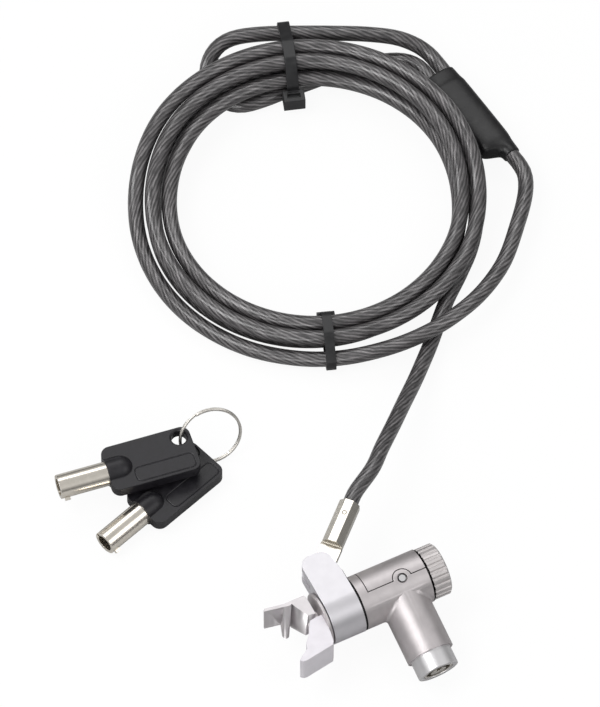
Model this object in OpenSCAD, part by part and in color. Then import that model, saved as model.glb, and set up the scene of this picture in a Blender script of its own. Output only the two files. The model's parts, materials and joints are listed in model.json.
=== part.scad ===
// Laptop cable lock: a jaw clamp head on a swivel collar, a coiled steel cable
// with a crimped loop, and two tubular keys on a ring. Millimetres, +Z up.
// The origin lies on the table, under the middle of the lock head and the keys.

/* [Cable] */
// Diameter over the clear jacket
cable_d = 5.7; // [5:0.1:6]
// Free space kept between neighbouring turns
turn_gap = 0.5; // [0.45:0.05:0.9]
// Radius of the innermost turn, at the middle of the cable
coil_inner_r = 51.8; // [48:0.2:56]

/* [Cable ties] */
// Width of the nylon strap
tie_w = 4.4; // [3:0.1:6]
// Thickness of the nylon strap
tie_t = 1.1; // [0.8:0.1:1.4]
// Slack between the strap and the cables
tie_slack = 0.25; // [0.2:0.05:0.5]
// Size of the ratchet head: along the cable, outwards, high
tie_head = [8, 5, 6]; // [4:0.5:10]

/* [Loop ferrule] */
// Length of the aluminium ferrule
ferrule_l = 26; // [20:1:30]
// Wall outside each bore
ferrule_wall = 0.6; // [0.5:0.1:1]
// Wall of the shrink sleeve over it
sleeve_wall = 0.6; // [0.4:0.1:1]
// Length of the shrink sleeve
sleeve_l = 44; // [38:1:50]

/* [Cable terminal] */
// Length of the crimped socket
crimp_l = 18.5; // [16:0.5:24]
// Width across the flats of the crimped socket
crimp_w = 7.6; // [7:0.1:9]
// Depth to which the cable enters the socket
crimp_depth = 12; // [8:1:14]
// Thickness of the flat tongue
tongue_t = 2.4; // [2:0.1:3]
// Width of the flat tongue
tongue_w = 8; // [7:0.1:9]
// Distance from the rivet to the socket
tongue_l = 12; // [11:0.5:16]
// Diameter of the rivet
rivet_d = 3.6; // [3:0.1:4]

/* [Swivel collar] */
// Outer radius of the collar
collar_r = 10.3; // [10.2:0.1:12]
// Width of the collar along the barrel
collar_w = 12.6; // [11:0.2:14]
// Reach of the lug from the barrel's axis
lug_reach = 20.2; // [19:0.2:23]
// Thickness of the lug
lug_t = 10; // [8:0.2:11]

/* [Barrel] */
// Outer radius of the barrel
barrel_r = 10.15; // [9.8:0.05:11]
// Step from the barrel down to the neck that carries the collar
neck_step = 2.65; // [2.3:0.05:3]
// Width of the plain band behind the collar
band_w = 3.6; // [3:0.1:5]
// Length of the barrel behind the band
barrel_l = 23.6; // [22:0.1:26]
// Wall of the removable shell
shell_t = 2.2; // [1.8:0.1:2.6]
// Distance of the dowels from the back of the barrel
dowel_back = 9.7; // [7:0.1:11]
// Diameter of the dowels
dowel_d = 3; // [2.4:0.1:3.4]
// Radius of the round lobe around each dowel
lobe_r = 3.4; // [3:0.1:3.8]

/* [Lock branch] */
// Outer radius of the branch
branch_r = 8.85; // [8.6:0.05:9.6]
// Reach of the branch from the barrel's axis
branch_l = 27.9; // [27:0.1:32]
// Distance of the branch from the back of the barrel
branch_back = 10.3; // [9.4:0.1:11]
// Radius of the push-in cylinder
plunger_r = 7.75; // [7.2:0.05:7.8]
// How far the cylinder stands out
plunger_out = 6.9; // [5:0.1:8]
// Travel of the cylinder
plunger_travel = 3.5; // [2:0.5:4]

/* [Key and keyway] */
// Outer diameter of the key's tube
key_tube_d = 9; // [8.6:0.1:9.2]
// Inner diameter of the key's tube
key_tube_id = 6.4; // [6:0.1:6.8]
// Length of the key's tube outside its head
key_tube_l = 18.4; // [15:0.2:22]
// Depth of the round keyway
keyway_depth = 7; // [5:0.5:8]
// Length of the key's head
head_l = 33.6; // [30:0.2:38]
// Width of the key's head
head_w = 19; // [17:0.2:22]
// Thickness of the key's head
head_t = 4.6; // [4:0.1:5]
// Diameter of the hole for the ring
ring_hole_d = 6.6; // [6.6:0.1:6.8]
// Diameter of the key ring, at the middle of its wire
ring_d = 22.8; // [22:0.2:24]
// Width and thickness of the key ring
ring_wire = [1.4, 1.1]; // [1:0.1:1.6]

/* [Knob and jaws] */
// Outer radius of the knob
knob_r = 9.8; // [9:0.1:10.2]
// Length of the knob
knob_l = 7.2; // [6:0.1:9]
// Flutes round the knob
knob_flutes = 24; // [18:1:30]
// Depth of each flute
flute_depth = 0.55; // [0.3:0.05:0.7]
// Height of the jaws
jaw_w = 12; // [11:0.2:13]
// Gap of the claw behind its jaw at rest
claw_gap = 1.7; // [1.5:0.1:2.5]
// Travel of the claw for one turn of the knob
screw_pitch = 1.25; // [1:0.05:1.5]
// Diameter of the draw screw
screw_d = 5; // [4.5:0.1:5.2]

/* [Hidden] */
$fn = 48;
run_gap = 0.05;      // running fit between a shaft and its hole
free_gap = 0.3;      // gap between pieces that move past each other
groove = 0.4;        // dark joint lines between the head's pieces
turns_per_layer = 1.5; // from the start of the coil to where it climbs and turns back
rings_per_turn = 24;
cr = cable_d / 2;
pitch = cable_d + turn_gap;
coil_outer_r = coil_inner_r + pitch * turns_per_layer;

// ---- Places on the table -------------------------------------------------

// The frame's origin, as seen from the middle of the coil
origin_from_coil = [-20, -150.5];
// The barrel's axis at the collar's front face, from the middle of the coil
head_from_coil = [4.05, -183.3];
// Height of the barrel's axis above the table
head_z = 17.2;
// Heading of the barrel, from its jaws to its knob
head_turn = 26.5;
// Tilt of the lock branch below the level
branch_tilt = 16;
// Heading of the cable where it leaves the terminal
terminal_turn = 69.5;
// Middle of the key ring, from the middle of the coil
ring_from_coil = [-36.8, -102.5];
// Turn of the key ring about the vertical, and its lean from the level
ring_turn = 18;
ring_lean = 67;
// Headings of the two keys, from the head to the tube's mouth
upper_key_turn = 198.1;
lower_key_turn = 224.1;

coil_at = [-origin_from_coil[0], -origin_from_coil[1], 0];
head_at = coil_at + [head_from_coil[0], head_from_coil[1], head_z];

// ---- Small helpers -------------------------------------------------------

function smooth(t) = let (k = min(max(t, 0), 1)) k * k * (3 - 2 * k);
function unit(v) = v / norm(v);

// A rod along X, from x0 to x1
module rod_x(r, x0, x1, sides = 0) {
    translate([x0, 0, 0])
        rotate([0, 90, 0])
            cylinder(r = r, h = x1 - x0, $fn = sides > 0 ? sides : $fn);
}

// A rod along -Y, from y = -y0 to y = -y1
module rod_y(r, y0, y1) {
    translate([0, -y0, 0])
        rotate([90, 0, 0])
            cylinder(r = r, h = y1 - y0);
}

// ---- The cable's line ----------------------------------------------------
// One unbroken line: out of the terminal, round the coil, through the ferrule,
// round the loop and back into the ferrule. Points are from the coil's middle.

cable_z = tie_t + tie_slack + cr;       // lowest middle of the cable, on a strap
start_turn = -25;                       // where the lead meets the coil
coil_turns = 3.72;                      // turns up to where the end leaves
step = 1 / rings_per_turn;

// Takes a point laid out for the usual sizes to the sizes in use
function lay(p) =
    let (flat = norm([p.x, p.y]), k = (coil_inner_r + (flat - 51.8) * pitch / 6.2) / flat)
    [p.x * k, p.y * k, cable_z + (p.z - 4.2) * pitch / 6.2];

// The first turn lies a little wider at the front, where the last one comes down beside it
function coil_r(u) = coil_inner_r + pitch * min(abs(u - turns_per_layer), 2.1)
    + 0.2 * pitch * (smooth((u - 0.5) / 0.2) - smooth((u - 0.86) / 0.14));
function coil_a(u) = start_turn + 360 * u;
function coil_z(u) = cable_z
    + (pitch + 0.1) * smooth((sin(coil_a(u)) + 0.35) / 0.95)
    + pitch * smooth((u - 1.25) / 0.5)
    - pitch * smooth((u - 3.46) / 0.24);
function coil_pt(u) = [coil_r(u) * cos(coil_a(u)), coil_r(u) * sin(coil_a(u)), coil_z(u)];

// The ferrule lies straight, its near end outermost
ferrule_a = lay([71.4, 19.6, 7.2]);
ferrule_turn = 124;
ferrule_dir = [cos(ferrule_turn), sin(ferrule_turn), 0];
ferrule_out = [sin(ferrule_turn), -cos(ferrule_turn), 0];
function ferrule_pt(s, side) = ferrule_a + ferrule_dir * s + ferrule_out * side * pitch / 2;

rivet_at = [
    head_from_coil.x + (collar_w / 2) * cos(head_turn) - (lug_reach - 5.5) * sin(head_turn),
    head_from_coil.y + (collar_w / 2) * sin(head_turn) + (lug_reach - 5.5) * cos(head_turn),
    head_z + collar_r - lug_t / 2];
terminal_dir = [cos(terminal_turn), sin(terminal_turn), 0];
function terminal_pt(s) = rivet_at + terminal_dir * s;
crimp_end = tongue_l + crimp_l;

// Smooth line through hand-set points; the first and last only guide it
function bend(a, b, c, d, t) = 0.5 * (2 * b + (c - a) * t
    + (2 * a - 5 * b + 4 * c - d) * t * t + (3 * b - a - 3 * c + d) * t * t * t);
function line_through(p, n) = [
    for (i = [1:len(p) - 3]) for (j = [0:n - 1]) bend(p[i - 1], p[i], p[i + 1], p[i + 2], j / n),
    p[len(p) - 2]];

lead_guides = concat(
    [terminal_pt(crimp_end - crimp_depth - 8), terminal_pt(crimp_end - crimp_depth),
     terminal_pt(crimp_end - 6), terminal_pt(crimp_end), terminal_pt(crimp_end + 6)],
    [for (p = [[22, -123, 22.1], [25.4, -113.2, 20.3], [29.5, -101.5, 16.6], [33.6, -89.2, 12.6],
               [37.7, -77, 8.4], [41.4, -65.4, 5.4], [44, -57.4, 4.4], [46.9, -47.8, 4.2],
               [50, -38.6, 4.2]]) lay(p)],
    [coil_pt(0), coil_pt(step)]);

end_guides = concat(
    [coil_pt(coil_turns - step), coil_pt(coil_turns)],
    [for (p = [[-22.2, -61.1, 4.3], [-4.7, -65.2, 4.6], [11.6, -65.6, 5.8], [28, -63, 8.4],
               [41.5, -58.1, 10.6], [52.9, -50.2, 11], [62.7, -39.8, 10.4], [70.7, -25.9, 9.3],
               [75.8, -9, 8.6], [78.2, 1.5, 7.8], [78.9, 8.5, 7.3], [78.3, 13.7, 7.2]]) lay(p)],
    [ferrule_pt(-4.2, 1), ferrule_pt(0, 1), ferrule_pt(sleeve_l / 3, 1),
     ferrule_pt(sleeve_l * 2 / 3, 1), ferrule_pt(sleeve_l, 1), ferrule_pt(sleeve_l + 5, 1)],
    [for (p = [[43.3, 65.8, 7.9], [38.4, 68.8, 9.3], [31, 70.7, 11.2], [20, 71.4, 12.4],
               [7, 71.4, 13], [-7, 71.4, 13], [-18, 71.2, 12.8], [-27.5, 70.3, 12],
               [-33.3, 68.1, 10.7], [-36.9, 64.2, 9.1], [-38.6, 59, 7.4], [-37.9, 53.6, 5.7],
               [-35, 49.2, 4.4], [-30.6, 46.2, 4.2], [-25, 45.4, 4.2], [-18, 47.6, 4.2],
               [-11, 50.8, 4.2], [-1, 55.2, 4.2], [9, 59.5, 4.2],
               [19, 63, 4.2], [27.2, 64.7, 4.6], [33.7, 64.3, 5.4], [38.2, 61.9, 6.6]]) lay(p)],
    [ferrule_pt(sleeve_l + 5.4, -1), ferrule_pt(sleeve_l, -1), ferrule_pt(sleeve_l * 2 / 3, -1),
     ferrule_pt(sleeve_l / 3, -1), ferrule_pt(6, -1), ferrule_pt(3, -1)]);

lead_line = line_through(lead_guides, 2);
coil_line = [for (i = [0:round(coil_turns * rings_per_turn) - 1]) coil_pt(i * step),
    coil_pt(coil_turns)];
loop_line = line_through(end_guides, 2);
whole_line = concat(lead_line, [for (i = [1:len(coil_line) - 1]) coil_line[i]],
    [for (i = [1:len(loop_line) - 1]) loop_line[i]]);
coil_first = len(lead_line) - 1;
coil_last = coil_first + len(coil_line) - 1;

// Ring of points round the line at its i-th point
function ring_at(line, i, r, sides, turn = 0) =
    let (
        last = len(line) - 1,
        along = unit(line[min(i + 1, last)] - line[max(i - 1, 0)]),
        side = unit(cross(along, [0, 0, 1])),
        up = cross(side, along))
    [for (k = [0:sides - 1]) let (a = turn + 360 * k / sides)
        line[i] + r * (cos(a) * side + sin(a) * up)];

// A solid tube along the line, from its i-th to its j-th point
module tube(line, i0, i1, r, sides) {
    rings = i1 - i0 + 1;
    points = [for (i = [i0:i1]) each ring_at(line, i, r, sides)];
    skin = [for (i = [0:rings - 2]) for (k = [0:sides - 1]) each [
        [i * sides + k, (i + 1) * sides + k, i * sides + (k + 1) % sides],
        [(i + 1) * sides + k, (i + 1) * sides + (k + 1) % sides, i * sides + (k + 1) % sides]]];
    first = [for (k = [0:sides - 1]) k];
    last = [for (k = [0:sides - 1]) rings * sides - 1 - k];
    polyhedron(points, concat(skin, [first], [last]), convexity = 8);
}

// Least space between the cable and itself, measured on points of its line
function fine(line, n) = [for (i = [0:len(line) - 2]) for (j = [0:n - 1])
    line[i] + (line[i + 1] - line[i]) * j / n];
check_line = concat(fine(lead_line, 3), fine(coil_line, 7), fine(loop_line, 3));
function least(line, skip) = min([for (i = [0:2:len(line) - 1]) let (a = line[i])
    each [for (j = [i + skip:1:len(line) - 1]) norm(line[j] - a)]]);
echo(least_gap = least(check_line, 12) - cable_d);
function length_of(line, i = 0, sum = 0) = i >= len(line) - 1 ? sum
    : length_of(line, i + 1, sum + norm(line[i + 1] - line[i]));
echo(cable_length = length_of(whole_line), lead_length = length_of(lead_line),
    coil_length = length_of(coil_line), loop_length = length_of(loop_line));

module cable_lead() {
    color([0.62, 0.64, 0.65]) translate(coil_at) tube(whole_line, 0, coil_first, cr, 8);
}

module cable_coil() {
    color([0.62, 0.64, 0.65]) translate(coil_at) tube(whole_line, coil_first, coil_last, cr, 6);
}

module cable_loop() {
    color([0.62, 0.64, 0.65])
        translate(coil_at) tube(whole_line, coil_last, len(whole_line) - 1, cr, 8);
}

// Oval of two circles side by side, across the ferrule
module oval(r) {
    for (side = [-1, 1]) translate([side * pitch / 2, 0]) circle(r = r);
    square([pitch, 2 * r], center = true);
}

// Stands a flat shape across the ferrule's line, from s0 to s1 along it
module along_ferrule(s0, s1) {
    translate(coil_at + ferrule_a + ferrule_dir * s0)
        rotate([90, 0, ferrule_turn + 90])
            linear_extrude(s1 - s0)
                children();
}

module ferrule() {
    color([0.75, 0.75, 0.76])
        along_ferrule(sleeve_l / 2 - ferrule_l / 2, sleeve_l / 2 + ferrule_l / 2)
            difference() {
                oval(cr + run_gap + ferrule_wall);
                for (side = [-1, 1]) translate([side * pitch / 2, 0]) circle(r = cr + run_gap);
            }
}

module shrink_sleeve() {
    over = cr + run_gap + ferrule_wall;
    neck = 6;
    color([0.08, 0.08, 0.09]) {
        along_ferrule(neck, sleeve_l - neck) difference() {
            oval(over + sleeve_wall);
            oval(over);
        }
        along_ferrule(sleeve_l - neck, sleeve_l) difference() {
            oval(over + sleeve_wall / 2);
            oval(cr + run_gap);
        }
        along_ferrule(0, neck) difference() {
            translate([-pitch / 2, 0]) circle(r = over + sleeve_wall / 2);
            translate([-pitch / 2, 0]) circle(r = cr + run_gap);
        }
    }
}

// A nylon strap round the cables at the points given as [radius, height]
module strap(turn, cables, head) {
    over = cr + tie_slack;
    color([0.07, 0.07, 0.08])
        translate(coil_at)
            rotate([0, 0, turn]) {
                translate([0, tie_w / 2, 0])
                    rotate([90, 0, 0])
                        linear_extrude(tie_w)
                            difference() {
                                hull() for (c = cables)
                                    translate(c) circle(r = over + tie_t, $fn = 24);
                                hull() for (c = cables)
                                    translate(c) circle(r = over, $fn = 24);
                            }
                translate([head.x, 0, head.y])
                    difference() {
                        cube([tie_head.y, tie_head.x, tie_head.z], center = true);
                        translate([0, 0, tie_head.z / 2])
                            cube([tie_t + 0.6, tie_w + 0.4, 2.4], center = true);
                    }
            }
}

function coil_rz(turn, n) = let (u = (turn - start_turn) / 360 + n) [coil_r(u), coil_z(u)];
// The same on the straight stretch between two rings of the coil
function chord_rz(turn, n) =
    let (
        u = (turn - start_turn) / 360 + n,
        k = floor(u / step),
        p = coil_pt(k * step) + (coil_pt((k + 1) * step) - coil_pt(k * step)) * (u / step - k))
    [norm([p.x, p.y]), p.z];
function rz(p) = let (q = lay([p[0], 0, p[1]])) [q.x, q.z];
far_turn = 98;
near_turn = 276;

module far_tie() {
    cables = concat([rz([52.2, 4.2]), coil_rz(far_turn, 1), rz([53.7, 4.2]), rz([72.2, 13])],
        [for (n = [0, 2, 3]) coil_rz(far_turn, n)], [for (n = [0:3]) chord_rz(far_turn, n)]);
    over = cr + tie_slack + tie_t;
    strap(far_turn, cables, [cables[1].x - over - tie_head.y / 2 + 0.1, cables[0].y + 3]);
}

module near_tie() {
    cables = concat([coil_rz(near_turn, 0), coil_rz(near_turn, 1), coil_rz(near_turn, 2)],
        [for (n = [0:2]) chord_rz(near_turn, n)], [rz([65.6, 5.2]), rz([66.3, 5.6])]);
    over = cr + tie_slack + tie_t;
    strap(near_turn, cables, [cables[1].x - over - tie_head.y / 2 + 1, cables[1].y - 2.2]);
}

// ---- The lock head -------------------------------------------------------
// Seen from the barrel's axis at the collar's front: +X runs to the knob, the
// lug points to +Y and, tilted with all but the collar, the branch to -Y.

module at_collar() { translate(head_at) rotate([0, 0, head_turn]) children(); }
module at_lock() { at_collar() rotate([branch_tilt, 0, 0]) children(); }

neck_r = barrel_r - neck_step;          // neck that carries the collar
band_x = collar_w + groove;             // front of the band behind the collar
shell_x = band_x + band_w;              // front of the removable shell
end_x = shell_x + barrel_l;             // back of the barrel
branch_x = end_x - branch_back;         // the lock branch
dowel_x = end_x - dowel_back;           // the two dowels
core_r = barrel_r - shell_t;            // barrel under the shell
seam = 0.3;                             // joint lines of the shell
rivet_y = lug_reach - 5.5;              // the rivet, in the lug
front_r = 9.9;                          // rings in front of the collar
front_t = 1.1;                          // thickness of the front ring
base_t = 2;                             // thickness of the foot's base
ring_x = -free_gap - front_t;           // front of the front ring
base_x = ring_x - base_t;               // front of the foot's base
nut_r = 4.7;                            // outside of the drive nut
nut_x = 24;                             // front end of the drive nut
bore_r = nut_r + free_gap;              // bore that takes the nut
clip_x = end_x - 2.7;                   // the clip that holds the nut
clip_t = 0.8;                           // thickness of the clip
shank_y = 3.2;                          // half width of the claw's square shank
shank_z = [-3.4, 1];                    // bottom and top of that shank
shank_end = 13.9;                       // back of that shank
claw_travel = 2.6;                      // way that it runs to the front
bore_x = shank_end - claw_travel - free_gap; // front end of the nut's bore
slack = 0.15;                           // space round the shank
claw_back = ring_x - claw_gap;          // back of the claw's block, at rest

module swivel_collar() {
    color([0.8, 0.8, 0.81])
        at_collar()
            difference() {
                union() {
                    rod_x(collar_r, 0, collar_w);
                    translate([0, 0, collar_r - lug_t])
                        linear_extrude(lug_t)
                            lug_plan();
                }
                rod_x(neck_r + run_gap, -1, collar_w + 1);
                translate([-1, rivet_y - tongue_w / 2 - 0.5, collar_r - lug_t / 2 - tongue_t / 2 - 0.25])
                    cube([collar_w + 2, lug_reach, tongue_t + 0.5]);
                translate([collar_w / 2, rivet_y, collar_r - lug_t - 1])
                    cylinder(d = rivet_d, h = lug_t - 0.2);
            }
}

// Plan of the lug: square at the barrel, its two far corners rounded
module lug_plan() {
    corner = 4.2;
    taper = 1.1;
    polygon([[0, 0], [0, lug_reach - corner], [corner, lug_reach],
        [collar_w - taper - corner, lug_reach], [collar_w - taper, lug_reach - corner],
        [collar_w, lug_reach - 11], [collar_w, 0]]);
    for (x = [corner, collar_w - taper - corner])
        translate([x, lug_reach - corner]) circle(r = corner);
}

module terminal_rivet() {
    color([0.7, 0.69, 0.66])
        at_collar()
            translate([collar_w / 2, rivet_y, collar_r - lug_t])
                cylinder(d = rivet_d, h = lug_t - 1.2);
}

module cable_terminal() {
    color([0.72, 0.68, 0.6])
        translate(coil_at + rivet_at)
            rotate([0, 0, terminal_turn])
                difference() {
                    union() {
                        translate([0, 0, -tongue_t / 2]) linear_extrude(tongue_t) {
                            circle(d = tongue_w);
                            translate([0, -tongue_w / 2]) square([tongue_l, tongue_w]);
                        }
                        translate([tongue_l, 0, 0])
                            rotate([22.5, 0, 0])
                                rod_x(crimp_w / 2 / cos(22.5), 0, crimp_l, 8);
                    }
                    translate([0, 0, -tongue_t]) cylinder(d = rivet_d + 2 * run_gap, h = tongue_t * 2);
                    rod_x(cr + run_gap, crimp_end - crimp_depth, crimp_end + 1);
                }
}

module shell_region(inner, front, side) {
    difference() {
        intersection() {
            rod_x(barrel_r, front, end_x);
            translate([front, side, -barrel_r - 1])
                cube([end_x - front + 1, barrel_r + 1, 2 * barrel_r + 2]);
        }
        rod_x(inner, front - 1, end_x + 1);
        translate([dowel_x, 0, -barrel_r - 1])
            cylinder(r = lobe_r + side, h = 2 * barrel_r + 2);
    }
}

module barrel_housing() {
    color([0.66, 0.64, 0.64])
        at_lock()
            difference() {
                union() {
                    rod_x(neck_r, -free_gap, band_x + 1);
                    rod_x(barrel_r, band_x, end_x);
                    translate([branch_x, 0, 0]) rod_y(branch_r, 0, branch_l);
                }
                translate([0, 0, 0]) difference() {
                    translate([shell_x, 0, -barrel_r - 1])
                        cube([barrel_l + 1, barrel_r + 1, 2 * barrel_r + 2]);
                    rod_x(core_r, shell_x - 1, end_x + 2);
                    translate([dowel_x, 0, -barrel_r - 1])
                        cylinder(r = lobe_r, h = 2 * barrel_r + 2);
                }
                rod_x(bore_r, bore_x, end_x + 1);
                rod_x(bore_r + 1.1, clip_x - 0.3, clip_x + clip_t + 0.3);
                translate([-1, -shank_y - slack, shank_z[0] - slack])
                    cube([bore_x + 2, 2 * (shank_y + slack), shank_z[1] - shank_z[0] + 2 * slack]);
                translate([branch_x, 0, 0]) {
                    rod_y(plunger_r + run_gap, plunger_back - plunger_travel - 0.2, branch_l + 1);
                    rod_y(bolt_r + run_gap, 2, branch_l);
                }
                for (side = [0, 1]) mirror([0, 0, side])
                    translate([dowel_x, 0, bore_r + 0.4]) {
                        cylinder(d = dowel_d, h = barrel_r);
                        translate([0, 0, barrel_r - bore_r - 1.5])
                            cylinder(d = dowel_d + 0.8, h = barrel_r);
                    }
            }
}

module barrel_shell() {
    color([0.68, 0.66, 0.66]) at_lock() shell_region(core_r + 0.02, shell_x + seam, seam);
}

module shell_dowels() {
    color([0.86, 0.86, 0.86])
        at_lock()
            for (side = [0, 1]) mirror([0, 0, side])
                translate([dowel_x, 0, bore_r + 0.4])
                    cylinder(d = dowel_d, h = barrel_r - bore_r - 0.45);
}

module collar_washer() {
    color([0.12, 0.12, 0.13])
        at_lock()
            difference() {
                rod_x(barrel_r - 0.6, collar_w + run_gap, band_x);
                rod_x(neck_r, collar_w - 1, band_x + 1);
            }
}

module front_ring() {
    color([0.7, 0.69, 0.7])
        at_lock()
            difference() {
                rod_x(front_r, ring_x, -free_gap);
                translate([ring_x - 1, -shank_y - slack, shank_z[0] - slack])
                    cube([front_t + 2, 2 * (shank_y + slack), shank_z[1] - shank_z[0] + 2 * slack]);
            }
}

// ---- Jaws ----------------------------------------------------------------

jaw_half = jaw_w / 2;                   // half the height of the jaws
wall = 1.1;                             // thickness of the claw's thin end
claw_end = 19.2;                        // reach of the claw in front of the collar
foot_end = 16.8;                        // reach of the foot in front of the collar

// A flat piece of the jaws between two heights; they stand level, whatever the barrel's tilt
module slab(z0, z1, outline) {
    translate([0, 0, z0]) linear_extrude(z1 - z0) polygon(outline);
}

// A piece that runs from one outline at the bottom to another at the top
module tapered(low, high) {
    hull() {
        slab(-jaw_half, -jaw_half + 0.1, low);
        slab(jaw_half - 0.1, jaw_half, high);
    }
}

// Way for the claw's shank through the pieces that it passes
module shank_way(x0, x1, space) {
    translate([x0, -shank_y - space, shank_z[0] - space])
        cube([x1 - x0, 2 * (shank_y + space), shank_z[1] - shank_z[0] + 2 * space]);
}

module foot_jaw() {
    color([0.8, 0.79, 0.84])
        difference() {
            at_collar() {
                intersection() {
                    rod_x(front_r, base_x, ring_x);
                    translate([base_x - 1, -front_r - 1, -jaw_half])
                        cube([base_t + 2, front_r - 0.6, jaw_w]);
                }
                slab(-jaw_half, jaw_half, [[-6.3, -2], [base_x, -1.6], [-2.2, -1.7], [ring_x - 0.2, -2.6],
                    [ring_x - 0.2, -9.2], [-2.4, -13.4], [-3.2, -14.6], [-14.6, -16.4], [-15.9, -16.2],
                    [-foot_end, -15.2], [-15.4, -14], [-12.4, -12.1], [-11.6, -9.8], [-9.8, -7.8]]);
            }
            at_lock() shank_way(-foot_end, 1, 0.35);
        }
}

module claw_jaw() {
    back = claw_back;
    color([0.78, 0.77, 0.8]) {
        at_collar() {
            slab(-jaw_half, jaw_half, [[-claw_end, 9.3], [-claw_end + 0.5, 9.8], [-11.7, 8.5],
                [-4, 8.5], [-4, 7], [-12, 8.4 - wall], [-claw_end + 0.6, 9.7 - wall],
                [-claw_end, 9.8 - wall]]);
            tapered([[-11.4, 8.3], [-10.3, 4.7], [-8.4, 1.6], [-7.2, -0.4], [back, -0.4], [back, 8]],
                [[-9.3, 8.3], [-8.5, 6], [-6, 0.3], [back, -0.2], [back, 7.8], [back - 0.6, 8.5]]);
            tapered([[-13, 8.4], [-13.4, 4.6], [-14.9, 3], [-14.6, 1.8], [-13.8, 1.3], [-12.8, 1.6],
                [-12.2, 2.6], [-10.4, 8.2]], [[-12, 8], [-11.6, 7.2], [-9.4, 6.5], [-9, 8]]);
        }
        at_lock() translate([-6, -shank_y, shank_z[0]])
            cube([shank_end + 6, 2 * shank_y, shank_z[1] - shank_z[0]]);
    }
}

module draw_screw() {
    color([0.6, 0.6, 0.6]) at_lock() rod_x(screw_d / 2, shank_end, end_x - 4);
}

// ---- Knob ----------------------------------------------------------------

module knob() {
    x0 = end_x + groove;
    color([0.6, 0.59, 0.6])
        at_lock()
            difference() {
                translate([x0, 0, 0])
                    rotate([0, 90, 0])
                        rotate_extrude()
                            polygon([[0, 0], [knob_r - 0.3, 0], [knob_r, 0.3], [knob_r, knob_l - 0.9],
                                [knob_r - 0.9, knob_l - 0.2], [0, knob_l]]);
                for (i = [0:knob_flutes - 1])
                    rotate([360 * i / knob_flutes, 0, 0])
                        translate([0, 0, knob_r + 0.75 - flute_depth])
                            rod_x(0.75, x0 - 1, x0 + knob_l + 1);
                rod_x(nut_r, x0 - 1, x0 + 1.6);
            }
}

module drive_nut() {
    color([0.72, 0.66, 0.5])
        at_lock()
            difference() {
                rod_x(nut_r, nut_x, end_x + groove + 1.6);
                rod_x(screw_d / 2 + run_gap, nut_x - 1, end_x + groove + 3);
                difference() {
                    rod_x(nut_r + 1, clip_x, clip_x + clip_t);
                    rod_x(nut_r - 0.5, clip_x - 1, clip_x + clip_t + 1);
                }
            }
}

module nut_clip() {
    color([0.35, 0.35, 0.36])
        at_lock()
            difference() {
                rod_x(bore_r + 0.6, clip_x, clip_x + clip_t);
                rod_x(nut_r - 0.5, clip_x - 1, clip_x + clip_t + 1);
                translate([clip_x - 1, -1.5, 0]) cube([clip_t + 2, 3, 9]);
            }
}

// ---- Push-in lock --------------------------------------------------------

plunger_front = branch_l + plunger_out;  // outer end of the cylinder
plunger_back = 17.5;                    // inner end of the cylinder
core_out_r = 5.7;                       // outside of the keyed core
bolt_r = 1.75;                          // locking bolt
pin_r = 0.6;                            // tumbler pins
pin_ring = 3.85;                        // circle they stand on
keyway_end = plunger_front - 0.3 - keyway_depth;

module at_branch() { at_lock() translate([branch_x, 0, 0]) children(); }

module lock_plunger() {
    color([0.84, 0.84, 0.85])
        at_branch()
            difference() {
                rod_y(plunger_r, plunger_back, plunger_front);
                rod_y(core_out_r + run_gap, 25, plunger_front + 1);
                rod_y(bolt_r, plunger_back, 26);
                rod_y(3.4, plunger_back - 1, 22.8);
            }
}

module lock_core() {
    color([0.66, 0.6, 0.5])
        at_branch()
            difference() {
                rod_y(core_out_r, 25 + run_gap, plunger_front - 0.3);
                difference() {
                    rod_y(key_tube_d / 2 + 0.1, keyway_end, plunger_front);
                    rod_y(key_tube_id / 2 - 0.1, keyway_end - 1, plunger_front);
                }
                translate([-0.85, -plunger_front, 0])
                    cube([1.7, plunger_front - keyway_end, key_tube_d / 2 + 0.8]);
                for (i = [0:6]) rotate([0, 360 / 7 * (i + 0.5), 0])
                    translate([0, 0, pin_ring]) rod_y(pin_r + run_gap, 25, keyway_end + 1);
            }
}

module tumbler_pins() {
    color([0.75, 0.7, 0.55])
        at_branch()
            for (i = [0:6]) rotate([0, 360 / 7 * (i + 0.5), 0])
                translate([0, 0, pin_ring]) rod_y(pin_r, 25.2, keyway_end + 0.6);
}

module lock_bolt() {
    color([0.7, 0.7, 0.7]) at_branch() rod_y(bolt_r, 8.4, 24.9);
}

// The spring round the bolt, closed up in its pocket
spring_line = [for (i = [0:40]) [2.7 * cos(45 * i), -22.4 + 4.2 * i / 40, 2.7 * sin(45 * i)]];

module plunger_spring() {
    color([0.5, 0.5, 0.52]) at_branch() coil_tube(spring_line, 0.22, 6);
}

// A tube on a line that winds round the Y axis
module coil_tube(line, r, sides) {
    last = len(line) - 1;
    points = [for (i = [0:last]) let (
            along = unit(line[min(i + 1, last)] - line[max(i - 1, 0)]),
            side = unit(cross(along, [0, 1, 0])),
            up = cross(side, along))
        each [for (k = [0:sides - 1]) let (a = 360 * k / sides)
            line[i] + r * (cos(a) * side + sin(a) * up)]];
    skin = [for (i = [0:last - 1]) for (k = [0:sides - 1]) each [
        [i * sides + k, (i + 1) * sides + k, i * sides + (k + 1) % sides],
        [(i + 1) * sides + k, (i + 1) * sides + (k + 1) % sides, i * sides + (k + 1) % sides]]];
    polyhedron(points, concat(skin, [[for (k = [0:sides - 1]) k]],
        [[for (k = [0:sides - 1]) (last + 1) * sides - 1 - k]]), convexity = 8);
}

// ---- Keys and their ring -------------------------------------------------

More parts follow.
